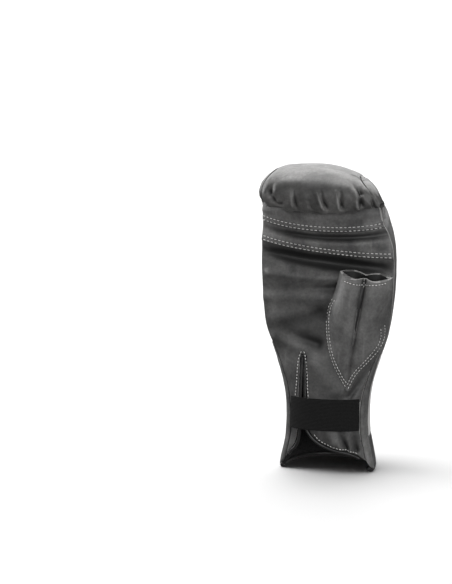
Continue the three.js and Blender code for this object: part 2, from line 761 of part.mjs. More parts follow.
// Piping along one flap and its lip, from the lower corner to the top of the slit
function lipPoints(side) {
  const reach = slitPipingRadius + pipingGap;
  const depth = leather / 2;
  const along = (share) => {
    const height = flapEdgeHeight(share);
    const x = lerp(slitAcross + side * slitHalfWidth, palmEdgeAt(height, side).x, share);
    return new THREE.Vector2(x, height);
  };
  const flap = spaced(flapPiping.from, flapPiping.to, flapPiping.steps).map((share) => {
    const slope = along(share + slopeStep).sub(along(share - slopeStep)).normalize();
    const down = new THREE.Vector2(side * slope.y, -side * slope.x);
    return along(share).addScaledVector(down, reach);
  });
  const lip = spaced(strapBottom, slitEndMiddle, 7).map(
    (height) => new THREE.Vector2(slitAcross + side * (lipHalfWidth(height) - reach), height),
  );
  return [...flap, ...lip].map(({ x, y }) => palmPoint(x, y, depth));
}

function slitPiping() {
  const top = spaced(1, 5, 4).map((step) => {
    const angle = (step * Math.PI) / 6;
    const height = slitEndMiddle + slitTurn * Math.sin(angle);
    return palmPoint(slitAcross + slitTurn * Math.cos(angle), height, leather / 2);
  });
  return piping([...lipPoints(1), ...top, ...lipPoints(-1).reverse()], slitPipingDiameter, palmward);
}

const glove = new THREE.Group();

function addPiece(name, geometry, finish) {
  const material = new THREE.MeshStandardMaterial(finish);
  const mesh = new THREE.Mesh(geometry, material);
  mesh.name = name;
  glove.add(mesh);
}

addPiece('back_centre_panel', centrePanel(), finishes.backLeather);
addPiece('side_panel_thumb', sidePanel(1), finishes.backLeather);
addPiece('side_panel_little_finger', sidePanel(-1), finishes.backLeather);
addPiece('cuff_band', cuffPiece(cuffEndTop + seamGap, cuffBandTop, 6), finishes.whiteLeather);
addPiece('cuff_end', cuffPiece(rimTop, cuffEndTop, 3), finishes.backLeather);
addPiece('lining', lining(), finishes.lining);
addPiece('gusset_thumb', gusset(1), finishes.leather);
addPiece('gusset_little_finger', gusset(-1), finishes.leather);
addPiece('palm_panel', palmPanel(), finishes.leather);
addPiece('finger_band_lower', lowerFingerBand(), finishes.leather);
addPiece('finger_band_upper', upperFingerBand(), finishes.leather);
addPiece('thumb_sleeve', thumbSleeve(), finishes.leather);
addPiece('wrist_strap', wristStrap(), finishes.elastic);
addPiece('rim_piping', rimPiping(), finishes.piping);
addPiece('slit_piping', slitPiping(), finishes.piping);

// The origin lies on the floor under the middle of the glove's bounding box
const bounds = new THREE.Box3().setFromObject(glove);
const middle = bounds.getCenter(new THREE.Vector3());
glove.position.set(-middle.x, -middle.y, -bounds.min.z);

export default glove;
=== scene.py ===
import math

import bmesh
import bpy
from mathutils import Matrix, Vector, kdtree, noise
from mathutils.bvhtree import BVHTree


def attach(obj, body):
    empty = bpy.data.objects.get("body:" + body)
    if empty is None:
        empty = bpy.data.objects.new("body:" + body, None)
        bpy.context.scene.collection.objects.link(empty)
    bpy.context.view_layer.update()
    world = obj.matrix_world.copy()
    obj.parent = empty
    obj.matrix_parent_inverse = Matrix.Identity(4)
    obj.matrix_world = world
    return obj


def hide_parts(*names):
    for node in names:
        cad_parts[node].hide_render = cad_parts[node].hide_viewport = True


# A right-hand bag glove of dark grey leather that stands on its cuff, palm to -Y and thumb to +X

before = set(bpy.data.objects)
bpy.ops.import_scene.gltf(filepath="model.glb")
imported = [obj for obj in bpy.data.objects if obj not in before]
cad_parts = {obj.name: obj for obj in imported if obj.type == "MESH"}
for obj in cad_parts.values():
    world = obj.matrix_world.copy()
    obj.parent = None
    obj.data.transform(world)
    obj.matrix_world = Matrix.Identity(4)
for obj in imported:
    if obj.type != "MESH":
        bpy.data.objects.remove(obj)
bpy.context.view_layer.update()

MM = 0.001
PALMWARD = Vector((0, -1, 0))
THUMBWARD = Vector((1, 0, 0))
UPWARD = Vector((0, 0, 1))

# Where the glove stands in the picture, and how the camera looks at it
CAMERA_AZIMUTH = math.radians(13)
CAMERA_ELEVATION = math.radians(11)
CAMERA_DISTANCE = 2.4
PICTURE_HEIGHT = 0.502  # metres of the picture's height at the glove
AIM_RIGHT = -0.0913  # the point that the camera looks at: to its right, up and towards it from the origin
AIM_UP = 0.1503
AIM_NEAR = 0.05
SENSOR = 36.0  # millimetres, as Blender gives a camera's sensor

# Middle of the fist, round which the back of the glove bends forward
FIST_HEIGHT = 200 * MM
FIST_RADIUS = 50 * MM

BACK_PANELS = ["back_centre_panel", "side_panel_thumb", "side_panel_little_finger"]

# Seams across the palm: height at the middle, how far the ends rise, and the slope towards the thumb, then
# the depth of the trough in the leather under the seam, how far below the seam it lies, and its half width
UPPER_SEAM = {
    "height": 210.7 * MM,
    "sag": 6 * MM,
    "tilt": -0.9 * MM,
    "trough": 3.4 * MM,
    "below": 5 * MM,
    "width": 3.6 * MM,
}
LOWER_SEAM = {
    "height": 191.3 * MM,
    "sag": 2.7 * MM,
    "tilt": -6 * MM,
    "trough": 5.8 * MM,
    "below": 8.2 * MM,
    "width": 6 * MM,
}
HALF_HAND = 57 * MM
SEAM_LAYERS = 1.6 * MM  # how far the sewn layers stand proud
SEAM_LAYERS_WIDTH = 4 * MM

# How the CAD meshes are made ready
SAME_PLACE = 0.01 * MM
CUT_EDGE_ANGLE = math.radians(62)  # edges sharper than this are rounded
RAW_EDGE_WIDTH = 3 * MM  # cut faces narrower than this show raw leather
RAW_EDGE_FACING = 0.55  # and they face the side that is named this squarely, 1 being straight

# How the pieces are drawn together
CORNER_TUCK = 3 * MM  # the upper band's corners go this far in, back and up, under the hood
CORNER_DROOP = 4.5 * MM  # the hood's corner at the thumb hangs this far down over them
GUSSET_TURN = 1.6 * MM  # the gussets' ends reach this far down over the rim's binding
BINDING_SWELL = 0.35 * MM
HOOD_FRONT = -20 * MM  # the hood's folds lie forward of this
FOLD_TAPER = 0.75  # share of its depth that a fold has lost at its end
FOLD_REACH = 3  # a fold is felt this many half widths past its ends
LIP_PLACE = 2  # a fold's lip lies this many half widths beside it

# Painted shade
DEEP_FOLD = 3.2 * MM  # how far leather sinks before its painted shade is darkest
SLEEVE_HOLLOW = 60 * MM  # painted shade falls on leather where the sleeve stands in front of it, nearer than this
OVERLAP_SHADE = 5 * MM  # how far leather is dark beside a piece that lies over it
SEAM_SHADE = 1.3 * MM  # how far leather is dark beside a row of stitches
GATHER_SHADE = {"height": 250 * MM, "width": 10 * MM, "strength": 0.8}

# Stitching
STITCH_PITCH = 3.7 * MM
FINE_PITCH = 2.9 * MM
STITCH_SHARE = 0.66  # length of a stitch as a share of the pitch
THREAD_WIDTH = 0.7 * MM
THREAD_RISE = 0.2 * THREAD_WIDTH  # how far the middle of a stitch stands above the leather
FIRST_ROW = 1.4 * MM  # how far the two rows of a seam lie from it
SECOND_ROW = 4.6 * MM
HOOD_STITCH_END = -12 * MM  # the back's seams are stitched as far forward as this
BAND_ROW_HEIGHTS = (33.4 * MM, 100.8 * MM)
BAND_ROW_ANGLE = 86  # degrees to each side of straight back, as far as the rows round the cuff go
BAND_ROW_STEPS = 96
CUFF_MIDDLE = -4 * MM  # the rows round the cuff go round a point this far palmward of the origin
PALM_ROW_ENDS = 56  # millimetres to each side
PALM_ROW_STEP = 4
PALM_ROW_FACING = -0.45  # the rows end where the leather turns away to the side
CURVE_STEPS = 6  # places on a smooth curve for each place given
MEETING_GAP = 3 * MM  # panels whose points are nearer than this meet there
OUTER_FACE = 0.3  # points face outwards when their outward share is over this

# Where a look at the surface starts
IN_FRONT = 200 * MM
OUTSIDE_CUFF = 100 * MM
OUTSIDE_BACK = 15 * MM

# Stitched lines of the thumb sleeve, the wrist slit and the flap: places across and up, in millimetres
THUMB_LEFT_OUTER = [(7.5, 154), (3.6, 147), (2.1, 140), (1.7, 132), (2.2, 124), (3.2, 116), (5.2, 107),
                    (8.8, 97), (14.2, 87), (20.2, 77.5)]
THUMB_LEFT_INNER = [(10.5, 154), (6.6, 147), (5.2, 140), (4.8, 132), (5.3, 124), (6.4, 116), (8.4, 107),
                    (12, 97), (17.2, 87), (21.5, 80)]
THUMB_RIGHT_OUTER = [(52.4, 133), (52, 125), (50.6, 118), (47.6, 111.5), (43.2, 105), (37.2, 98.5),
                     (30.6, 91.5), (25.6, 84), (22.4, 77)]
THUMB_RIGHT_INNER = [(49.6, 130), (49.4, 123), (47.8, 117), (44.4, 111), (39.8, 105), (34, 98.5),
                     (28.2, 92), (23.8, 85), (21.2, 79)]
THUMB_RIM = [(18.6, 171.2), (24, 170), (29, 168.8), (33, 168), (37, 168), (43, 168.5), (49, 169),
             (54, 169.6)]
THUMB_TACK = [(35.6, 173.6), (35.4, 170), (35.2, 166)]
SLIT_ROW_THUMB = [(-18.2, 106.2), (-16.4, 102), (-15.2, 96), (-14.6, 88), (-14.2, 80), (-13.6, 72),
                  (-12.6, 62)]
SLIT_ROW_LITTLE = [(-20, 106.2), (-22, 101.5), (-23, 96), (-23.6, 88), (-24, 80), (-24.6, 72), (-25.6, 62)]
FLAP_ROW = [(-8, 34), (-4.6, 29.6), (0, 26.4), (5, 24.2), (11, 22.4), (18, 20.8), (25, 19), (29, 17)]
SLEEVE_ROWS = [
    THUMB_LEFT_OUTER,
    THUMB_LEFT_INNER,
    THUMB_RIGHT_OUTER,
    THUMB_RIGHT_INNER,
    THUMB_RIM,
    THUMB_TACK,
]
SLIT_ROWS = [SLIT_ROW_THUMB, SLIT_ROW_LITTLE, FLAP_ROW]

# Folds of the palm, hood and sleeve, in millimetres: start and end across and up, half width, how far the
# leather is raised there, and how far beside it
PALM_FOLDS = [
    {"start": (-50, 172), "end": (22, 168), "width": 4.5, "depth": 3.0, "lip": 0},
    {"start": (34, 163), "end": (-50, 159), "width": 5, "depth": -3.6, "lip": 0},
    {"start": (-54, 151), "end": (-6, 153), "width": 4.5, "depth": 2.0, "lip": 0},
    {"start": (-4, 140), "end": (-34, 126), "width": 6, "depth": -2.4, "lip": 0},
    {"start": (-46, 132), "end": (-10, 146), "width": 6, "depth": 1.6, "lip": 0},
    {"start": (-44, 116), "end": (-14, 106), "width": 6, "depth": 2.4, "lip": 0},
    {"start": (-6, 112), "end": (-38, 123), "width": 6, "depth": -3.0, "lip": 0},
    {"start": (22, 68), "end": (43, 100), "width": 3.4, "depth": -2.6, "lip": 0.8},
    {"start": (-12, 96), "end": (2, 82), "width": 6, "depth": 1.2, "lip": 0},
    {"start": (20, 22), "end": (13, 38), "width": 2.6, "depth": -3.2, "lip": 1.8},
    {"start": (9, 25), "end": (3, 38), "width": 3, "depth": 2.0, "lip": -1.0},
    {"start": (28, 20), "end": (25, 37), "width": 2.4, "depth": -2.8, "lip": 1.6},
]
HOOD_FOLDS = [
    {"start": (-40, 235), "end": (-46, 247), "width": 2.6, "depth": -3.2, "lip": 0.8},
    {"start": (-46, 245), "end": (-42, 256), "width": 2.6, "depth": -2.6, "lip": 0.0},
    {"start": (-38, 232), "end": (-33, 240), "width": 2.0, "depth": -3.0, "lip": 1.6},
    {"start": (-22, 230), "end": (-24, 247), "width": 1.5, "depth": -3.6, "lip": 2.4},
    {"start": (-8.5, 230), "end": (-10, 239), "width": 1.4, "depth": -2.4, "lip": 1.6},
    {"start": (5, 231), "end": (-1, 248), "width": 1.5, "depth": -3.4, "lip": 2.4},
    {"start": (18, 232), "end": (15.5, 249), "width": 1.5, "depth": -3.6, "lip": 2.4},
    {"start": (34, 235), "end": (32, 250), "width": 1.9, "depth": -3.8, "lip": 2.0},
    {"start": (33, 247), "end": (22, 260), "width": 2.0, "depth": -2.4, "lip": 1.4},
    {"start": (-30, 250), "end": (10, 252), "width": 5, "depth": -0.8, "lip": 0.6},
    {"start": (47, 237), "end": (31, 260), "width": 1.7, "depth": 2.2, "lip": -1.6},
]
SLEEVE_FOLDS = [
    {"start": (35.4, 171), "end": (20.5, 78), "width": 2.1, "depth": -3.4, "lip": 0},
    {"start": (27, 88), "end": (31, 112), "width": 3, "depth": 0.6, "lip": 0},
    {"start": (10, 118), "end": (22, 96), "width": 4, "depth": -0.6, "lip": 0.3},
]


def smooth(value, low, high):
    """0 below low, 1 above high, and a soft step between."""
    share = min(max((value - low) / (high - low), 0.0), 1.0)
    return share * share * (3 - 2 * share)


def bump(distance, width):
    """1 at no distance, and soon 0 beyond the width."""
    return math.exp(-((distance / width) ** 2))


# Shaping


def cad_mesh(node):
    """A CAD node's own mesh, merged, with its triangles joined into four-sided faces."""
    bm = bmesh.new()
    bm.from_mesh(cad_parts[node].data)
    bmesh.ops.remove_doubles(bm, verts=bm.verts, dist=SAME_PLACE)
    bmesh.ops.join_triangles(
        bm,
        faces=bm.faces,
        angle_face_threshold=math.radians(50),
        angle_shape_threshold=math.radians(70),
    )
    return bm


def round_edges(bm, radius):
    """Rounds the cut edges of a leather piece."""
    joined = [edge for edge in bm.edges if len(edge.link_faces) == 2]
    cut = [edge for edge in joined if edge.calc_face_angle() > CUT_EDGE_ANGLE]
    bmesh.ops.bevel(
        bm,
        geom=cut,
        affect="EDGES",
        offset=radius,
        offset_type="OFFSET",
        segments=2,
        profile=0.5,
        material=-1,
        clamp_overlap=True,
    )


def mark_raw_edges(bm, direction):
    """Gives the narrow cut faces that look one way the second material."""
    for face in bm.faces:
        narrow = min(edge.calc_length() for edge in face.edges) < RAW_EDGE_WIDTH
        if narrow and face.normal.dot(direction) > RAW_EDGE_FACING:
            face.material_index = 1


def subdivide(piece, levels):
    """Rounds a piece by a Subdivision Surface that becomes part of its mesh."""
    modifier = piece.modifiers.new("Subdivision", "SUBSURF")
    modifier.levels = levels
    modifier.render_levels = levels
    graph = bpy.context.evaluated_depsgraph_get()
    shaped = bpy.data.meshes.new_from_object(piece.evaluated_get(graph))
    piece.modifiers.clear()
    piece.data = shaped


def add_piece(bm, name):
    """An object with the mesh made so far."""
    mesh = bpy.data.meshes.new(name)
    bm.to_mesh(mesh)
    bm.free()
    piece = bpy.data.objects.new(name, mesh)
    bpy.context.scene.collection.objects.link(piece)
    return piece


def sewn_piece(node, radius, levels, raw_edge=None):
    """A smooth piece of leather or cloth in the place of a CAD node."""
    bm = cad_mesh(node)
    if raw_edge:
        mark_raw_edges(bm, raw_edge)
    round_edges(bm, radius)
    piece = add_piece(bm, f"{node}_sewn")
    subdivide(piece, levels)
    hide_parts(node)
    return piece


def press(piece, move):
    """Moves every point of a piece by the vector that move gives for its place and outward direction.

    Nothing goes below the floor, and how far a point sinks is kept as painted shade in the leather's colour."""
    mesh = piece.data
    moves = [move(vertex.co, vertex.normal) for vertex in mesh.vertices]
    # painted shade: the further a point sinks, the darker its leather is painted
    painted_shade = [smooth(-shift.dot(vertex.normal), 0, DEEP_FOLD) for vertex, shift in zip(mesh.vertices, moves)]
    for vertex, shift in zip(mesh.vertices, moves):
        vertex.co += shift
        vertex.co.z = max(vertex.co.z, 0)
    mesh.update()
    store(mesh, "painted_shade", painted_shade)


def shade_hollow(piece, tree, leans):
    """Paints shade on the points of a piece where the sleeve's leather stands close in front of them.

    Each point looks straight out, with its view leant up or down by each of the leans."""
    marks = piece.data.attributes["painted_shade"].data
    for vertex, mark in zip(piece.data.vertices, marks):
        start = vertex.co + vertex.normal * 0.5 * MM
        for lean in leans:
            view = (vertex.normal + UPWARD * lean).normalized()
            distance = tree.ray_cast(start, view, SLEEVE_HOLLOW)[3]
            if distance is not None:
                mark.value = max(mark.value, min(1.5 - 1.5 * distance / SLEEVE_HOLLOW, 1))


def shade_overlap(piece, tree):
    """Paints shade on the points of a piece along the line where another piece lies over it."""
    marks = piece.data.attributes["painted_shade"].data
    for vertex, mark in zip(piece.data.vertices, marks):
        distance = tree.find_nearest(vertex.co)[3]
        mark.value = max(mark.value, bump(distance, OVERLAP_SHADE))


def store(mesh, name, values):
    """Keeps a value for each point of a mesh, for the materials to read."""
    mesh.attributes.new(name, "FLOAT", "POINT").data.foreach_set("value", values)


def fold_depth(folds, x, z):
    """How far the leather is raised at a place by a table of folds."""
    raised = 0.0
    for fold in folds:
        start = Vector(fold["start"]) * MM
        along = Vector(fold["end"]) * MM - start
        offset = Vector((x, z)) - start
        share = offset.dot(along) / along.length_squared
        beyond = max(-share, share - 1, 0) * along.length
        width = fold["width"] * MM
        if beyond > FOLD_REACH * width:
            continue
        across = (along.x * offset.y - along.y * offset.x) / along.length
        taper = (1 - FOLD_TAPER * smooth(share, 0, 1)) * bump(beyond, width)
        crease = fold["depth"] * bump(across, width)
        lip = fold["lip"] * bump(across - LIP_PLACE * width, width)
        raised += (crease + lip) * taper * MM
    return raised


def seam_height(seam, x):
    """Height of a seam across the palm at a place to one side."""
    across = x / HALF_HAND
    return seam["height"] + seam["sag"] * across**2 + seam["tilt"] * across


def spine(point):
    """Middle of the hollow at the height of a point."""
    return Vector((0, 0, min(point.z, FIST_HEIGHT)))


def outward_share(point, normal):
    """1 on the outer face of the body, 0 on the lining side and on the cut edges."""
    away = (point - spine(point)).normalized()
    return smooth(normal.dot(away), 0.1, 0.6)


def unevenness(point, scale, amount):
    """Soft irregular waves, finer with a larger scale."""
    return noise.noise(point * scale) * amount


# Pieces of the back


def hood_corner(point):
    """1 at the hood's low corner on the thumb's side, and less round it."""
    across = smooth(point.x, 40 * MM, 47 * MM)
    forward = smooth(-point.y, 14 * MM, 24 * MM)
    upward = smooth(point.z, 228 * MM, 234 * MM) * (1 - smooth(point.z, 236 * MM, 250 * MM))
    return across * forward * upward


def shape_panel(point, normal):
    """Soft leather over foam: slightly uneven, and pulled into folds along the hood's lower edge."""
    droop = UPWARD * -CORNER_DROOP * hood_corner(point)
    outside = outward_share(point, normal)
    if outside == 0:
        return droop
    raised = unevenness(point, scale=34, amount=0.8 * MM) + unevenness(point, scale=110, amount=0.2 * MM)
    if point.y < HOOD_FRONT:
        raised += fold_depth(HOOD_FOLDS, point.x, point.z)
    return normal * raised * outside + droop


def shade_gathers(piece):
    """Paints shade, in patches, on the hood's front over the gathers."""
    marks = piece.data.attributes["painted_shade"].data
    for vertex, mark in zip(piece.data.vertices, marks):
        front = smooth(-vertex.normal.y, 0.35, 0.85) * smooth(-vertex.co.y, 20 * MM, 36 * MM)
        band = bump(vertex.co.z - GATHER_SHADE["height"], GATHER_SHADE["width"])
        patches = 0.8 + unevenness(vertex.co, scale=70, amount=0.5)
        mark.value = max(mark.value, GATHER_SHADE["strength"] * front * band * patches)


def make_back():
    """The three padded panels, sewn together over the back of the hand."""
    pieces = [sewn_piece(node, radius=0.9 * MM, levels=3) for node in BACK_PANELS]
    for piece in pieces:
        press(piece, shape_panel)
        shade_gathers(piece)
    return pieces


def shape_cuff(point, normal):
    """The cuff's leather, dented and wrinkled by wear."""
    below_band = 1 - smooth(point.z, 28 * MM, 36 * MM)
    wrinkle = Vector((point.x, point.y, point.z * 0.45))
    dent = unevenness(wrinkle, scale=60, amount=(0.5 + 0.9 * below_band) * MM)
    outward = Vector((normal.x, normal.y, 0)) if outward_share(point, normal) else Vector()
    return outward * dent


# Pieces of the palm


def under_seam(seam, point):
    """The leather below a seam sinks in under the layers sewn above it."""
    below = seam_height(seam, point.x) - point.z
    narrowing = 1 - 0.8 * min(abs(point.x / HALF_HAND), 1) ** 4
    return -seam["trough"] * bump(below - seam["below"], seam["width"]) * narrowing


def over_seam(seam, point):
    """The sewn layers stand proud just above a seam."""
    above = point.z - seam_height(seam, point.x)
    return SEAM_LAYERS * bump(above - FIRST_ROW, SEAM_LAYERS_WIDTH)


def shape_palm(point, normal):
    """Folds of the palm below the lower seam."""
    raised = fold_depth(PALM_FOLDS, point.x, point.z) + unevenness(point, scale=40, amount=0.9 * MM)
    return PALMWARD * (raised + under_seam(LOWER_SEAM, point))


def shape_lower_band(point, normal):
    """The lower band, proud over its own seam and drawn in under the upper one."""
    raised = over_seam(LOWER_SEAM, point) + under_seam(UPPER_SEAM, point)
    return PALMWARD * (raised + unevenness(point, scale=50, amount=0.3 * MM))


def shape_upper_band(point, normal):
    """The upper band, whose top corners run up under the hood."""
    tucked = smooth(abs(point.x), 32 * MM, 46 * MM) * smooth(point.z, 226 * MM, 236 * MM)
    raised = over_seam(UPPER_SEAM, point) + unevenness(point, scale=50, amount=0.3 * MM)
    inward = math.copysign(CORNER_TUCK, -point.x)
    return PALMWARD * raised + Vector((inward, CORNER_TUCK, CORNER_TUCK)) * tucked


def shape_sleeve(point, normal):
    """The sleeve, with its pinch line and soft folds on the front."""
    front = smooth(-normal.y, 0.1, 0.5)
    raised = fold_depth(SLEEVE_FOLDS, point.x, point.z) * front
    return PALMWARD * (raised + unevenness(point, scale=60, amount=0.35 * MM))


def shape_gusset(point, normal):
    """The gussets, whose lower ends are turned over the rim's binding."""
    dent = unevenness(Vector((point.x, point.y, point.z * 2)), scale=70, amount=0.3 * MM)
    turned = 1 - smooth(point.z, 3 * MM, 14 * MM)
    return Vector((normal.x * dent, normal.y * dent, -turned * GUSSET_TURN))


def swell(point, normal):
    """Fills a rolled binding out again after its subdivision has drawn it in."""
    return normal * BINDING_SWELL


# Stitching


def surface_of(*pieces):
    """One tree of the surfaces of some pieces, to lay thread on or to see what is near."""
    bm = bmesh.new()
    for piece in pieces:
        bm.from_mesh(piece.data)
    tree = BVHTree.FromBMesh(bm)
    bm.free()
    return tree


def front_point(tree, x, z):
    """First point of the surface behind a place in front of the palm."""
    place, normal, _, _ = tree.ray_cast(Vector((x, -IN_FRONT, z)), -PALMWARD)
    return None if place is None else (place, normal)


def laid_on_front(tree, places):
    """A row through places given in millimetres, laid on the surface."""
    found = [front_point(tree, x * MM, z * MM) for x, z in smoothed(places)]
    return [point for point in found if point]


def smoothed(places):
    """More places on a smooth curve through the given ones."""
    result = []
    last = len(places) - 1
    for index in range(last):
        near = [Vector(places[min(max(index + step, 0), last)]) for step in (-1, 0, 1, 2)]
        for step in range(CURVE_STEPS):
            share = step / CURVE_STEPS
            linear = near[2] - near[0]
            square = 2 * near[0] - 5 * near[1] + 4 * near[2] - near[3]
            cube = 3 * (near[1] - near[2]) + near[3] - near[0]
            result.append(near[1] + 0.5 * share * (linear + share * (square + share * cube)))
    return result + [Vector(places[last])]


def evenly_spaced(row, pitch):
    """Places at equal steps along a row, each with its normal and the row's direction."""
    spots = []
    travelled = pitch / 2
    for (start, normal), (end, _) in zip(row, row[1:]):
        length = (end - start).length
        while length > 0 and travelled <= length:
            spots.append((start.lerp(end, travelled / length), normal, (end - start).normalized()))
            travelled += pitch
        travelled -= length
    return spots


def add_stitch(bm, place, normal, along, length):
    """One stitch: a short thread that lies on the leather."""
    side = normal.cross(along).normalized()
    up = along.cross(side)
    turn = Matrix((side, up, along)).transposed().to_4x4()
    size = Matrix.Diagonal((THREAD_WIDTH / 2, THREAD_WIDTH / 2, length / 2, 1))
    centre = Matrix.Translation(place + up * THREAD_RISE)
    bmesh.ops.create_uvsphere(bm, u_segments=6, v_segments=6, radius=1, matrix=centre @ turn @ size)


def sew(name, rows, pitch=STITCH_PITCH):
    """All the stitches of some rows as one piece."""
    bm = bmesh.new()
    for row in rows:
        for spot in evenly_spaced(row, pitch):
            add_stitch(bm, *spot, pitch * STITCH_SHARE)
    piece = add_piece(bm, name)
    piece.data.shade_smooth()
    return piece


def travel(point):
    """How far a point lies along the glove: up the back, over the knuckles and down the hood."""
    above = point.z - FIST_HEIGHT
    if above < 0:
        return point.z
    return FIST_HEIGHT + FIST_RADIUS * math.atan2(above, point.y)


def finder(places):
    """A tree that finds the nearest of some places."""
    near = kdtree.KDTree(len(places))
    for index, place in enumerate(places):
        near.insert(place, index)
    near.balance()
    return near


def meeting_line(node, other):
    """The outer line where two CAD nodes meet, from the cuff to the hood."""
    neighbour = cad_mesh(other)
    near = finder([vertex.co for vertex in neighbour.verts])
    bm = cad_mesh(node)
    bm.normal_update()
    outer = [vertex.co.copy() for vertex in bm.verts if outward_share(vertex.co, vertex.normal) > OUTER_FACE]
    met = [place for place in outer if near.find(place)[2] < MEETING_GAP]
    neighbour.free()
    bm.free()
    return sorted(met, key=travel)


def beside(tree, line, offset):
    """A row on the surface, at a distance to one side of a line."""
    curve = smoothed(line)
    row = []
    for before, place, after in zip(curve, curve[1:], curve[2:]):
        away = (place - spine(place)).normalized()
        side = away.cross(after - before).normalized()
        start = place + side * offset + away * OUTSIDE_BACK
        spot, normal, _, _ = tree.ray_cast(start, -away)
        if spot is not None:
            row.append((spot, normal))
    return row


def ring(tree, height):
    """A row round the cuff at a height, from one side seam to the other."""
    row = []
    for step in range(BAND_ROW_STEPS + 1):
        angle = math.radians(BAND_ROW_ANGLE * (2 * step / BAND_ROW_STEPS - 1))
        away = Vector((math.sin(angle), math.cos(angle), 0))
        start = Vector((0, CUFF_MIDDLE, height)) + away * OUTSIDE_CUFF
        place, normal, _, _ = tree.ray_cast(start, -away)
        if place is not None:
            row.append((place, normal))
    return row


def across_palm(tree, seam, rise):
    """A row along a seam, as far to each side as the leather still faces forward."""
    across = range(-PALM_ROW_ENDS, PALM_ROW_ENDS + 1, PALM_ROW_STEP)
    places = [(x, (seam_height(seam, x * MM) + rise) / MM) for x in across]
    return [spot for spot in laid_on_front(tree, places) if spot[1].y < PALM_ROW_FACING]


# Finishes


class Finish:
    """A material in the making: its nodes are added one by one, each fed by values or by other nodes."""

    def __init__(self, name):
        self.material = bpy.data.materials.new(name)
        self.material.use_nodes = True
        self.tree = self.material.node_tree
        self.shader = self.tree.nodes["Principled BSDF"]
        self.place = (self.add("ShaderNodeTexCoord"), "Object")

    def feed(self, node, inputs):
        """Sets a node's inputs, or links them where the value is another node's output."""
        for name, value in inputs.items():
            if isinstance(value, tuple) and isinstance(value[0], bpy.types.Node):
                self.tree.links.new(value[0].outputs[value[1]], node.inputs[name])
            else:
                node.inputs[name].default_value = value

    def add(self, kind, inputs=None, **settings):
        """A new node with its inputs fed and its settings made."""
        node = self.tree.nodes.new(kind)
        for name, value in settings.items():
            setattr(node, name, value)
        self.feed(node, inputs or {})
        return node

    def stretched(self, scale, turn):
        """The places on the object, turned and stretched for a pattern that runs one way."""
        inputs = {"Vector": self.place, "Scale": scale, "Rotation": turn}
        return (self.add("ShaderNodeMapping", inputs), "Vector")

    def clouds(self, scale, detail=4, roughness=0.55, place=None, distortion=0.0):
        """Irregular soft patches."""
        inputs = {
            "Vector": place or self.place,
            "Scale": scale,
            "Detail": detail,
            "Roughness": roughness,
            "Distortion": distortion,
        }
        return (self.add("ShaderNodeTexNoise", inputs), 0)

    def cells(self, scale, feature="DISTANCE_TO_EDGE"):
        """Small irregular cells, as in the grain of leather."""
        inputs = {"Vector": self.place, "Scale": scale}
        return (self.add("ShaderNodeTexVoronoi", inputs, feature=feature), 0)

    def ribs(self, scale, distortion, direction):
        """Even waves that follow each other in one direction."""
        inputs = {"Vector": self.place, "Scale": scale, "Distortion": distortion}
        return (self.add("ShaderNodeTexWave", inputs, bands_direction=direction), 1)

    def ramp(self, value, low, high, start=0.0, end=1.0):
        """Goes from start to end while the value goes from low to high."""
        inputs = {"Value": value, "From Min": low, "From Max": high, "To Min": start, "To Max": end}
        return (self.add("ShaderNodeMapRange", inputs), 0)

    def sum(self, first, second, share):
        """First plus a share of second."""
        node = self.add("ShaderNodeMath", operation="MULTIPLY_ADD")
        for index, value in enumerate((second, share, first)):
            if isinstance(value, tuple):
                self.tree.links.new(value[0].outputs[value[1]], node.inputs[index])
            else:
                node.inputs[index].default_value = value
        return (node, 0)

    def times(self, first, second):
        return self.sum(0.0, first, second)

    def blend(self, share, first, second, mode="MIX"):
        """The first colour, with a share of the second over it."""
        inputs = {"Fac": share, "Color1": first, "Color2": second}
        return (self.add("ShaderNodeMixRGB", inputs, blend_type=mode), 0)

    def attribute(self, name):
        """A value that is kept for each point of the mesh."""
        return (self.add("ShaderNodeAttribute", attribute_name=name), "Fac")

    def raise_by(self, height, distance, strength):
        """A surface that seems raised by a pattern."""
        inputs = {"Height": height, "Distance": distance, "Strength": strength}
        return (self.add("ShaderNodeBump", inputs), "Normal")

    def complete(self, colour, roughness, normal, specular=0.5):
        """Feeds the shader itself, and hands over the material."""
        self.feed(self.shader, {"Base Color": colour, "Roughness": roughness, "Normal": normal})
        self.feed(self.shader, {"Specular IOR Level": specular})
        return self.material


def grey(value, warmth=0.0):
    """A linear grey, slightly warm or cool."""
    return (value * (1 + warmth), value, value * (1 - 1.6 * warmth), 1)


# colour of the painted shade in creases and beside the stitches
PAINTED_CREASE_SHADE = grey(0.012)
# colour of the painted shade where leather sinks in, lies behind the sleeve or under the hood
PAINTED_HOLLOW_SHADE = grey(0.008)


def scratch_marks(finish, amount):
    """Where light scratches lie, all one way and only in some places."""
    place = finish.stretched(scale=(260, 24, 24), turn=(0.3, 0.75, 0.2))
    lines = finish.clouds(1, detail=3, roughness=0.6, place=place, distortion=0.8)
    places = finish.ramp(finish.clouds(30, detail=2), low=0.45, high=0.65, end=amount)
    return finish.times(finish.ramp(lines, low=0.6, high=0.78), places)


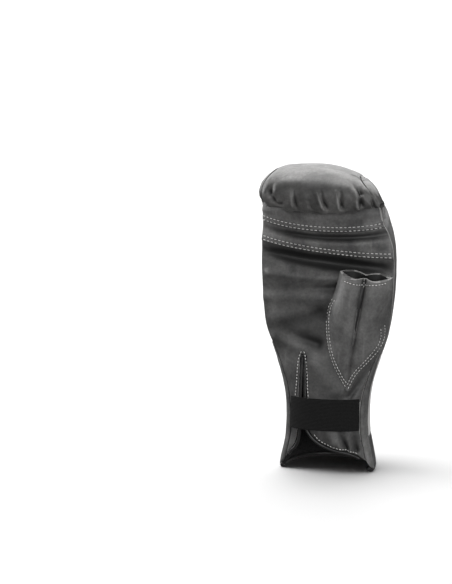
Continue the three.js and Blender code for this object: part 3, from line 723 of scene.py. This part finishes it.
def grained_leather(name, dark, light, wear_and_highlight, roughness, scratches):
    """Waxed leather: cloudy colour, fine grain, scratches that run one way, a painted highlight where it
    stands proud and painted shade in its creases and hollows.
    """
    finish = Finish(name)
    wide_clouds = finish.clouds(20, detail=5, roughness=0.6, distortion=0.6)
    clouds = finish.sum(wide_clouds, finish.clouds(75, roughness=0.6), share=0.35)
    colour = finish.blend(finish.ramp(clouds, low=0.5, high=0.88), dark, light)
    spots = finish.clouds(420, detail=3, roughness=0.7)
    speckle = finish.ramp(spots, low=0.3, high=0.75, start=0.75, end=1.2)
    colour = finish.blend(1.0, colour, speckle, "MULTIPLY")
    colour = finish.blend(scratch_marks(finish, scratches), colour, wear_and_highlight)
    # painted highlight where the leather stands proud
    ridge_highlights = finish.ramp(finish.attribute("ridge_highlight"), low=0.15, high=1.0, end=0.4)
    colour = finish.blend(ridge_highlights, colour, wear_and_highlight)
    # painted shade in creases and beside the stitches
    crease_shade = finish.ramp(finish.attribute("crease"), low=0.1, high=1.0, end=0.6)
    colour = finish.blend(crease_shade, colour, PAINTED_CREASE_SHADE)
    # painted shade where the leather sinks, in the sleeve's hollow, under the hood's lip and over the hood's
    # gathers
    colour = finish.blend(finish.times(finish.attribute("painted_shade"), 0.94), colour, PAINTED_HOLLOW_SHADE)
    grain = finish.ramp(finish.cells(950), low=0.0, high=0.25)
    height = finish.sum(finish.clouds(230, roughness=0.65), grain, share=0.16)
    normal = finish.raise_by(height, distance=0.35 * MM, strength=0.42)
    sheen = finish.ramp(clouds, low=0.4, high=1.0, start=roughness + 0.07, end=roughness - 0.05)
    return finish.complete(colour, sheen, normal)


def plain_leather(name, dark, light, roughness, wrinkle):
    """Smooth dyed leather with faint clouds and fine wrinkles."""
    finish = Finish(name)
    clouds = finish.clouds(45, roughness=0.6)
    colour = finish.blend(finish.ramp(clouds, low=0.3, high=0.75), dark, light)
    grain = finish.ramp(finish.cells(1100), low=0.0, high=0.25)
    height = finish.sum(finish.clouds(180, roughness=0.6), grain, share=0.2)
    normal = finish.raise_by(height, distance=0.3 * MM, strength=wrinkle)
    return finish.complete(colour, roughness, normal)


def rolled_leather(name):
    """Dark glossy binding with fine wrinkles."""
    finish = Finish(name)
    clouds = finish.ramp(finish.clouds(120), low=0.35, high=0.7)
    colour = finish.blend(clouds, grey(0.012), grey(0.035))
    wrinkles = finish.clouds(420, detail=3, roughness=0.6)
    normal = finish.raise_by(wrinkles, distance=0.3 * MM, strength=0.5)
    return finish.complete(colour, roughness=0.34, normal=normal)


def elastic_weave(name):
    """Black ribbed elastic: fine cords lengthwise, crossed by the weave."""
    finish = Finish(name)
    cords = finish.ribs(260, distortion=0.4, direction="Z")
    weave = finish.ribs(330, distortion=0.6, direction="X")
    height = finish.sum(cords, weave, share=0.6)
    fuzz = finish.clouds(900, detail=2)
    colour = finish.blend(finish.times(height, fuzz), grey(0.002), grey(0.02))
    normal = finish.raise_by(height, distance=0.25 * MM, strength=0.7)
    return finish.complete(colour, roughness=0.8, normal=normal, specular=0.25)


def lining_cloth(name):
    """Black spacer cloth with a net of small holes."""
    finish = Finish(name)
    holes = finish.ramp(finish.cells(420, feature="F1"), low=0.1, high=0.5)
    colour = finish.blend(holes, grey(0.003), grey(0.014))
    quilt = finish.times(finish.clouds(50, detail=2), 3.0)
    height = finish.sum(quilt, holes, share=0.5)
    normal = finish.raise_by(height, distance=0.5 * MM, strength=0.7)
    return finish.complete(colour, roughness=0.9, normal=normal)


def thread(name, brightness):
    """Waxed sewing thread with its twist."""
    finish = Finish(name)
    twist = finish.ribs(900, distortion=1.0, direction="DIAGONAL")
    dark = grey(0.82 * brightness, 0.01)
    light = grey(brightness, 0.01)
    colour = finish.blend(finish.ramp(twist, low=0.2, high=0.8), dark, light)
    normal = finish.raise_by(twist, distance=0.1 * MM, strength=0.6)
    return finish.complete(colour, roughness=0.6, normal=normal)


def bend_at(vertex):
    """How far a point stands out from the points round it, as a share of their distance."""
    edges = vertex.link_edges
    middle = sum((edge.other_vert(vertex).co for edge in edges), Vector()) / len(edges)
    reach = sum(edge.calc_length() for edge in edges) / len(edges)
    return (vertex.co - middle).dot(vertex.normal) / max(reach, 0.001 * MM)


def mark_surface(piece, seams):
    """Stores where a piece is creased or sewn, for painted shade, and where it stands proud, for a painted
    highlight, in its leather's colour.
    """
    bm = bmesh.new()
    bm.from_mesh(piece.data)
    ridge_highlights = []
    crease_shade = []
    for vertex in bm.verts:
        bend = bend_at(vertex)
        sewn = bump(seams.find(vertex.co)[2], SEAM_SHADE)
        # painted highlight where the leather stands proud
        ridge_highlights.append(smooth(bend, 0.03, 0.3))
        # painted shade in creases and beside the stitches
        crease_shade.append(max(smooth(-bend, 0.03, 0.3), 0.55 * sewn))
    bm.free()
    store(piece.data, "ridge_highlight", ridge_highlights)
    store(piece.data, "crease", crease_shade)


def dress(piece, slot, *materials):
    """Gives a piece its finish and lets it ride with the glove."""
    for material in materials:
        piece.data.materials.append(material)
    piece.data.shade_smooth()
    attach(piece, "root")


# The glove's finishes

palm_leather = grained_leather(
    "palm leather",
    dark=grey(0.036),
    light=grey(0.155, 0.01),
    wear_and_highlight=grey(0.3, 0.01),
    roughness=0.42,
    scratches=0.3,
)
sewn_on_leather = grained_leather(
    "sewn on leather",
    dark=grey(0.055),
    light=grey(0.23, 0.01),
    wear_and_highlight=grey(0.38, 0.01),
    roughness=0.42,
    scratches=0.3,
)
back_leather = grained_leather(
    "back leather",
    dark=grey(0.055, 0.01),
    light=grey(0.22, 0.015),
    wear_and_highlight=grey(0.38, 0.01),
    roughness=0.42,
    scratches=0.7,
)
cuff_leather = grained_leather(
    "cuff end leather",
    dark=grey(0.04),
    light=grey(0.11),
    wear_and_highlight=grey(0.3),
    roughness=0.3,
    scratches=0.2,
)
white_leather = plain_leather(
    "white cuff leather",
    dark=grey(0.74, 0.01),
    light=grey(0.84, 0.008),
    roughness=0.5,
    wrinkle=0.25,
)
raw_edge = plain_leather(
    "raw leather edge",
    dark=grey(0.32, 0.01),
    light=grey(0.46, 0.01),
    roughness=0.75,
    wrinkle=0.5,
)
binding = rolled_leather("rolled binding")
elastic = elastic_weave("ribbed elastic")
lining_finish = lining_cloth("lining cloth")
white_thread = thread("white thread", 0.92)
band_thread = thread("cuff band thread", 0.7)

# The glove's pieces

back_panels = make_back()
cuff_band = sewn_piece("cuff_band", radius=0.5 * MM, levels=2)
cuff_end = sewn_piece("cuff_end", radius=0.6 * MM, levels=3)
palm = sewn_piece("palm_panel", radius=0.6 * MM, levels=3, raw_edge=THUMBWARD)
lower_band = sewn_piece("finger_band_lower", radius=0.5 * MM, levels=3, raw_edge=THUMBWARD)
upper_band = sewn_piece("finger_band_upper", radius=0.5 * MM, levels=3, raw_edge=THUMBWARD)
sleeve = sewn_piece("thumb_sleeve", radius=0.6 * MM, levels=3, raw_edge=UPWARD)
gussets = [sewn_piece(node, radius=0.4 * MM, levels=3) for node in ("gusset_thumb", "gusset_little_finger")]
strap = sewn_piece("wrist_strap", radius=0.3 * MM, levels=3)
lining = sewn_piece("lining", radius=0.5 * MM, levels=2)
rim_binding = sewn_piece("rim_piping", radius=0.2 * MM, levels=2)
slit_binding = sewn_piece("slit_piping", radius=0.2 * MM, levels=2)

press(cuff_band, shape_cuff)
press(cuff_end, shape_cuff)
press(palm, shape_palm)
press(lower_band, shape_lower_band)
press(upper_band, shape_upper_band)
press(sleeve, shape_sleeve)
for gusset in gussets:
    press(gusset, shape_gusset)
press(rim_binding, swell)
press(slit_binding, swell)

back_surface = surface_of(*back_panels)
hood_surface = surface_of(back_panels[0])
front_surface = surface_of(palm, lower_band, upper_band, sleeve)
sleeve_surface = surface_of(sleeve)
cuff_surface = surface_of(cuff_band, cuff_end)

shade_hollow(sleeve, sleeve_surface, leans=(0, -0.9))
shade_hollow(palm, sleeve_surface, leans=(0,))
shade_overlap(upper_band, hood_surface)

# The glove's stitches

thumb_seam = meeting_line("back_centre_panel", "side_panel_thumb")
little_finger_seam = meeting_line("back_centre_panel", "side_panel_little_finger")
back_rows = [
    [spot for spot in beside(back_surface, line, hand * offset) if spot[0].y > HOOD_STITCH_END]
    for line, hand in ((thumb_seam, 1), (little_finger_seam, -1))
    for offset in (FIRST_ROW, SECOND_ROW)
]
palm_rows = [
    across_palm(front_surface, seam, rise)
    for seam in (UPPER_SEAM, LOWER_SEAM)
    for rise in (FIRST_ROW, SECOND_ROW)
]
sleeve_rows = [laid_on_front(front_surface, places) for places in SLEEVE_ROWS]
slit_rows = [laid_on_front(front_surface, places) for places in SLIT_ROWS]
band_rows = [ring(cuff_surface, height) for height in BAND_ROW_HEIGHTS]

back_stitches = sew("back_seam_stitches", back_rows)
palm_stitches = sew("palm_seam_stitches", palm_rows)
sleeve_stitches = sew("thumb_sleeve_stitches", sleeve_rows, FINE_PITCH)
slit_stitches = sew("slit_and_flap_stitches", slit_rows, FINE_PITCH)
band_stitches = sew("cuff_band_stitches", band_rows)

sewn_places = [place for row in back_rows + palm_rows + sleeve_rows + slit_rows for place, _ in row]
seams = finder(sewn_places)
for piece in (*back_panels, palm, lower_band, upper_band, sleeve, *gussets, cuff_end):
    mark_surface(piece, seams)

for piece in back_panels:
    dress(piece, "back_leather", back_leather)
dress(cuff_end, "back_leather", cuff_leather)
dress(cuff_band, "white_leather", white_leather)
dress(palm, "palm_leather", palm_leather, raw_edge)
for piece in (lower_band, upper_band, sleeve, *gussets):
    dress(piece, "palm_leather", sewn_on_leather, raw_edge)
dress(strap, "elastic", elastic)
dress(lining, "lining", lining_finish)
dress(rim_binding, "piping", binding)
dress(slit_binding, "piping", binding)
for piece in (back_stitches, palm_stitches, sleeve_stitches, slit_stitches):
    dress(piece, "white_leather", white_thread)
dress(band_stitches, "white_leather", band_thread)

# Studio


def studio_floor():
    """A wide pale floor that gives the glove no light back."""
    bm = bmesh.new()
    bmesh.ops.create_grid(bm, x_segments=1, y_segments=1, size=12)
    floor = add_piece(bm, "studio_floor")
    finish = Finish("studio floor")
    finish.feed(finish.shader, {"Base Color": grey(0.78), "Roughness": 0.7})
    floor.data.materials.append(finish.material)
    floor.visible_diffuse = False
    floor.visible_glossy = False
    return floor


def soft_light(name, place, target, size, watts):
    """A softbox at a place, turned to a target."""
    lamp = bpy.data.lights.new(name, "AREA")
    lamp.shape = "RECTANGLE"
    lamp.size, lamp.size_y = size
    lamp.energy = watts
    light = bpy.data.objects.new(name, lamp)
    light.location = place
    light.rotation_euler = (Vector(target) - Vector(place)).to_track_quat("-Z", "Y").to_euler()
    bpy.context.scene.collection.objects.link(light)
    return light


def soft_sun(name, direction, strength, spread):
    """Even light from one side, with soft shadows."""
    lamp = bpy.data.lights.new(name, "SUN")
    lamp.energy = strength
    lamp.angle = math.radians(spread)
    light = bpy.data.objects.new(name, lamp)
    light.rotation_euler = Vector(direction).to_track_quat("-Z", "Y").to_euler()
    bpy.context.scene.collection.objects.link(light)


def keep_off_floor(floor, lights):
    """Low lights miss the floor, so that it stays dark inside the cuff."""
    kept_off = bpy.data.collections.new("not lit by the fills")
    kept_off.objects.link(floor)
    kept_off.collection_objects[0].light_linking.link_state = "EXCLUDE"
    for light in lights:
        light.light_linking.receiver_collection = kept_off


def studio_world():
    """A faint white surrounding."""
    world = bpy.data.worlds.new("studio")
    world.use_nodes = True
    background = world.node_tree.nodes["Background"]
    background.inputs["Color"].default_value = grey(1)
    background.inputs["Strength"].default_value = 0.1
    bpy.context.scene.world = world


def studio_light(floor):
    """Bright from above and behind, with weaker light on the palm."""
    fist = (0, 0, 0.2)
    palm_middle = (0, 0, 0.15)
    soft_sun("key", direction=(0.25, 0.02, -1), strength=2.0, spread=40)
    soft_light("overhead softbox", (0, 1.3, 2.3), fist, size=(3, 2.6), watts=46)
    soft_light("back softbox", (-0.6, 5.5, 2.0), fist, size=(8, 3.2), watts=160)
    front_fill = soft_light("front fill", (0.7, -2.2, 0.8), palm_middle, size=(1.6, 1.4), watts=22)
    right_fill = soft_light("right fill", (2.0, -1.2, 0.5), palm_middle, size=(1.0, 1.2), watts=14)
    soft_light("left softbox", (-2.4, 0.3, 0.9), palm_middle, size=(2.4, 1.5), watts=50)
    keep_off_floor(floor, [front_fill, right_fill])
    bpy.context.scene.view_settings.view_transform = "Standard"


def studio_camera():
    """The camera at the photo's angle. Its own right, up and back are worked out first."""
    right = Vector((math.cos(CAMERA_AZIMUTH), math.sin(CAMERA_AZIMUTH), 0))
    level = Vector((right.y, -right.x, 0))
    back = level * math.cos(CAMERA_ELEVATION) + UPWARD * math.sin(CAMERA_ELEVATION)
    up = back.cross(right)
    aim = right * AIM_RIGHT + up * AIM_UP + back * AIM_NEAR
    data = bpy.data.cameras.new("camera")
    data.sensor_width = SENSOR
    data.lens = SENSOR * CAMERA_DISTANCE / PICTURE_HEIGHT
    data.clip_end = 50
    camera = bpy.data.objects.new("camera", data)
    camera.location = aim + back * CAMERA_DISTANCE
    camera.rotation_euler = back.to_track_quat("Z", "Y").to_euler()
    bpy.context.scene.collection.objects.link(camera)
    bpy.context.scene.camera = camera


studio_world()
studio_light(studio_floor())
studio_camera()
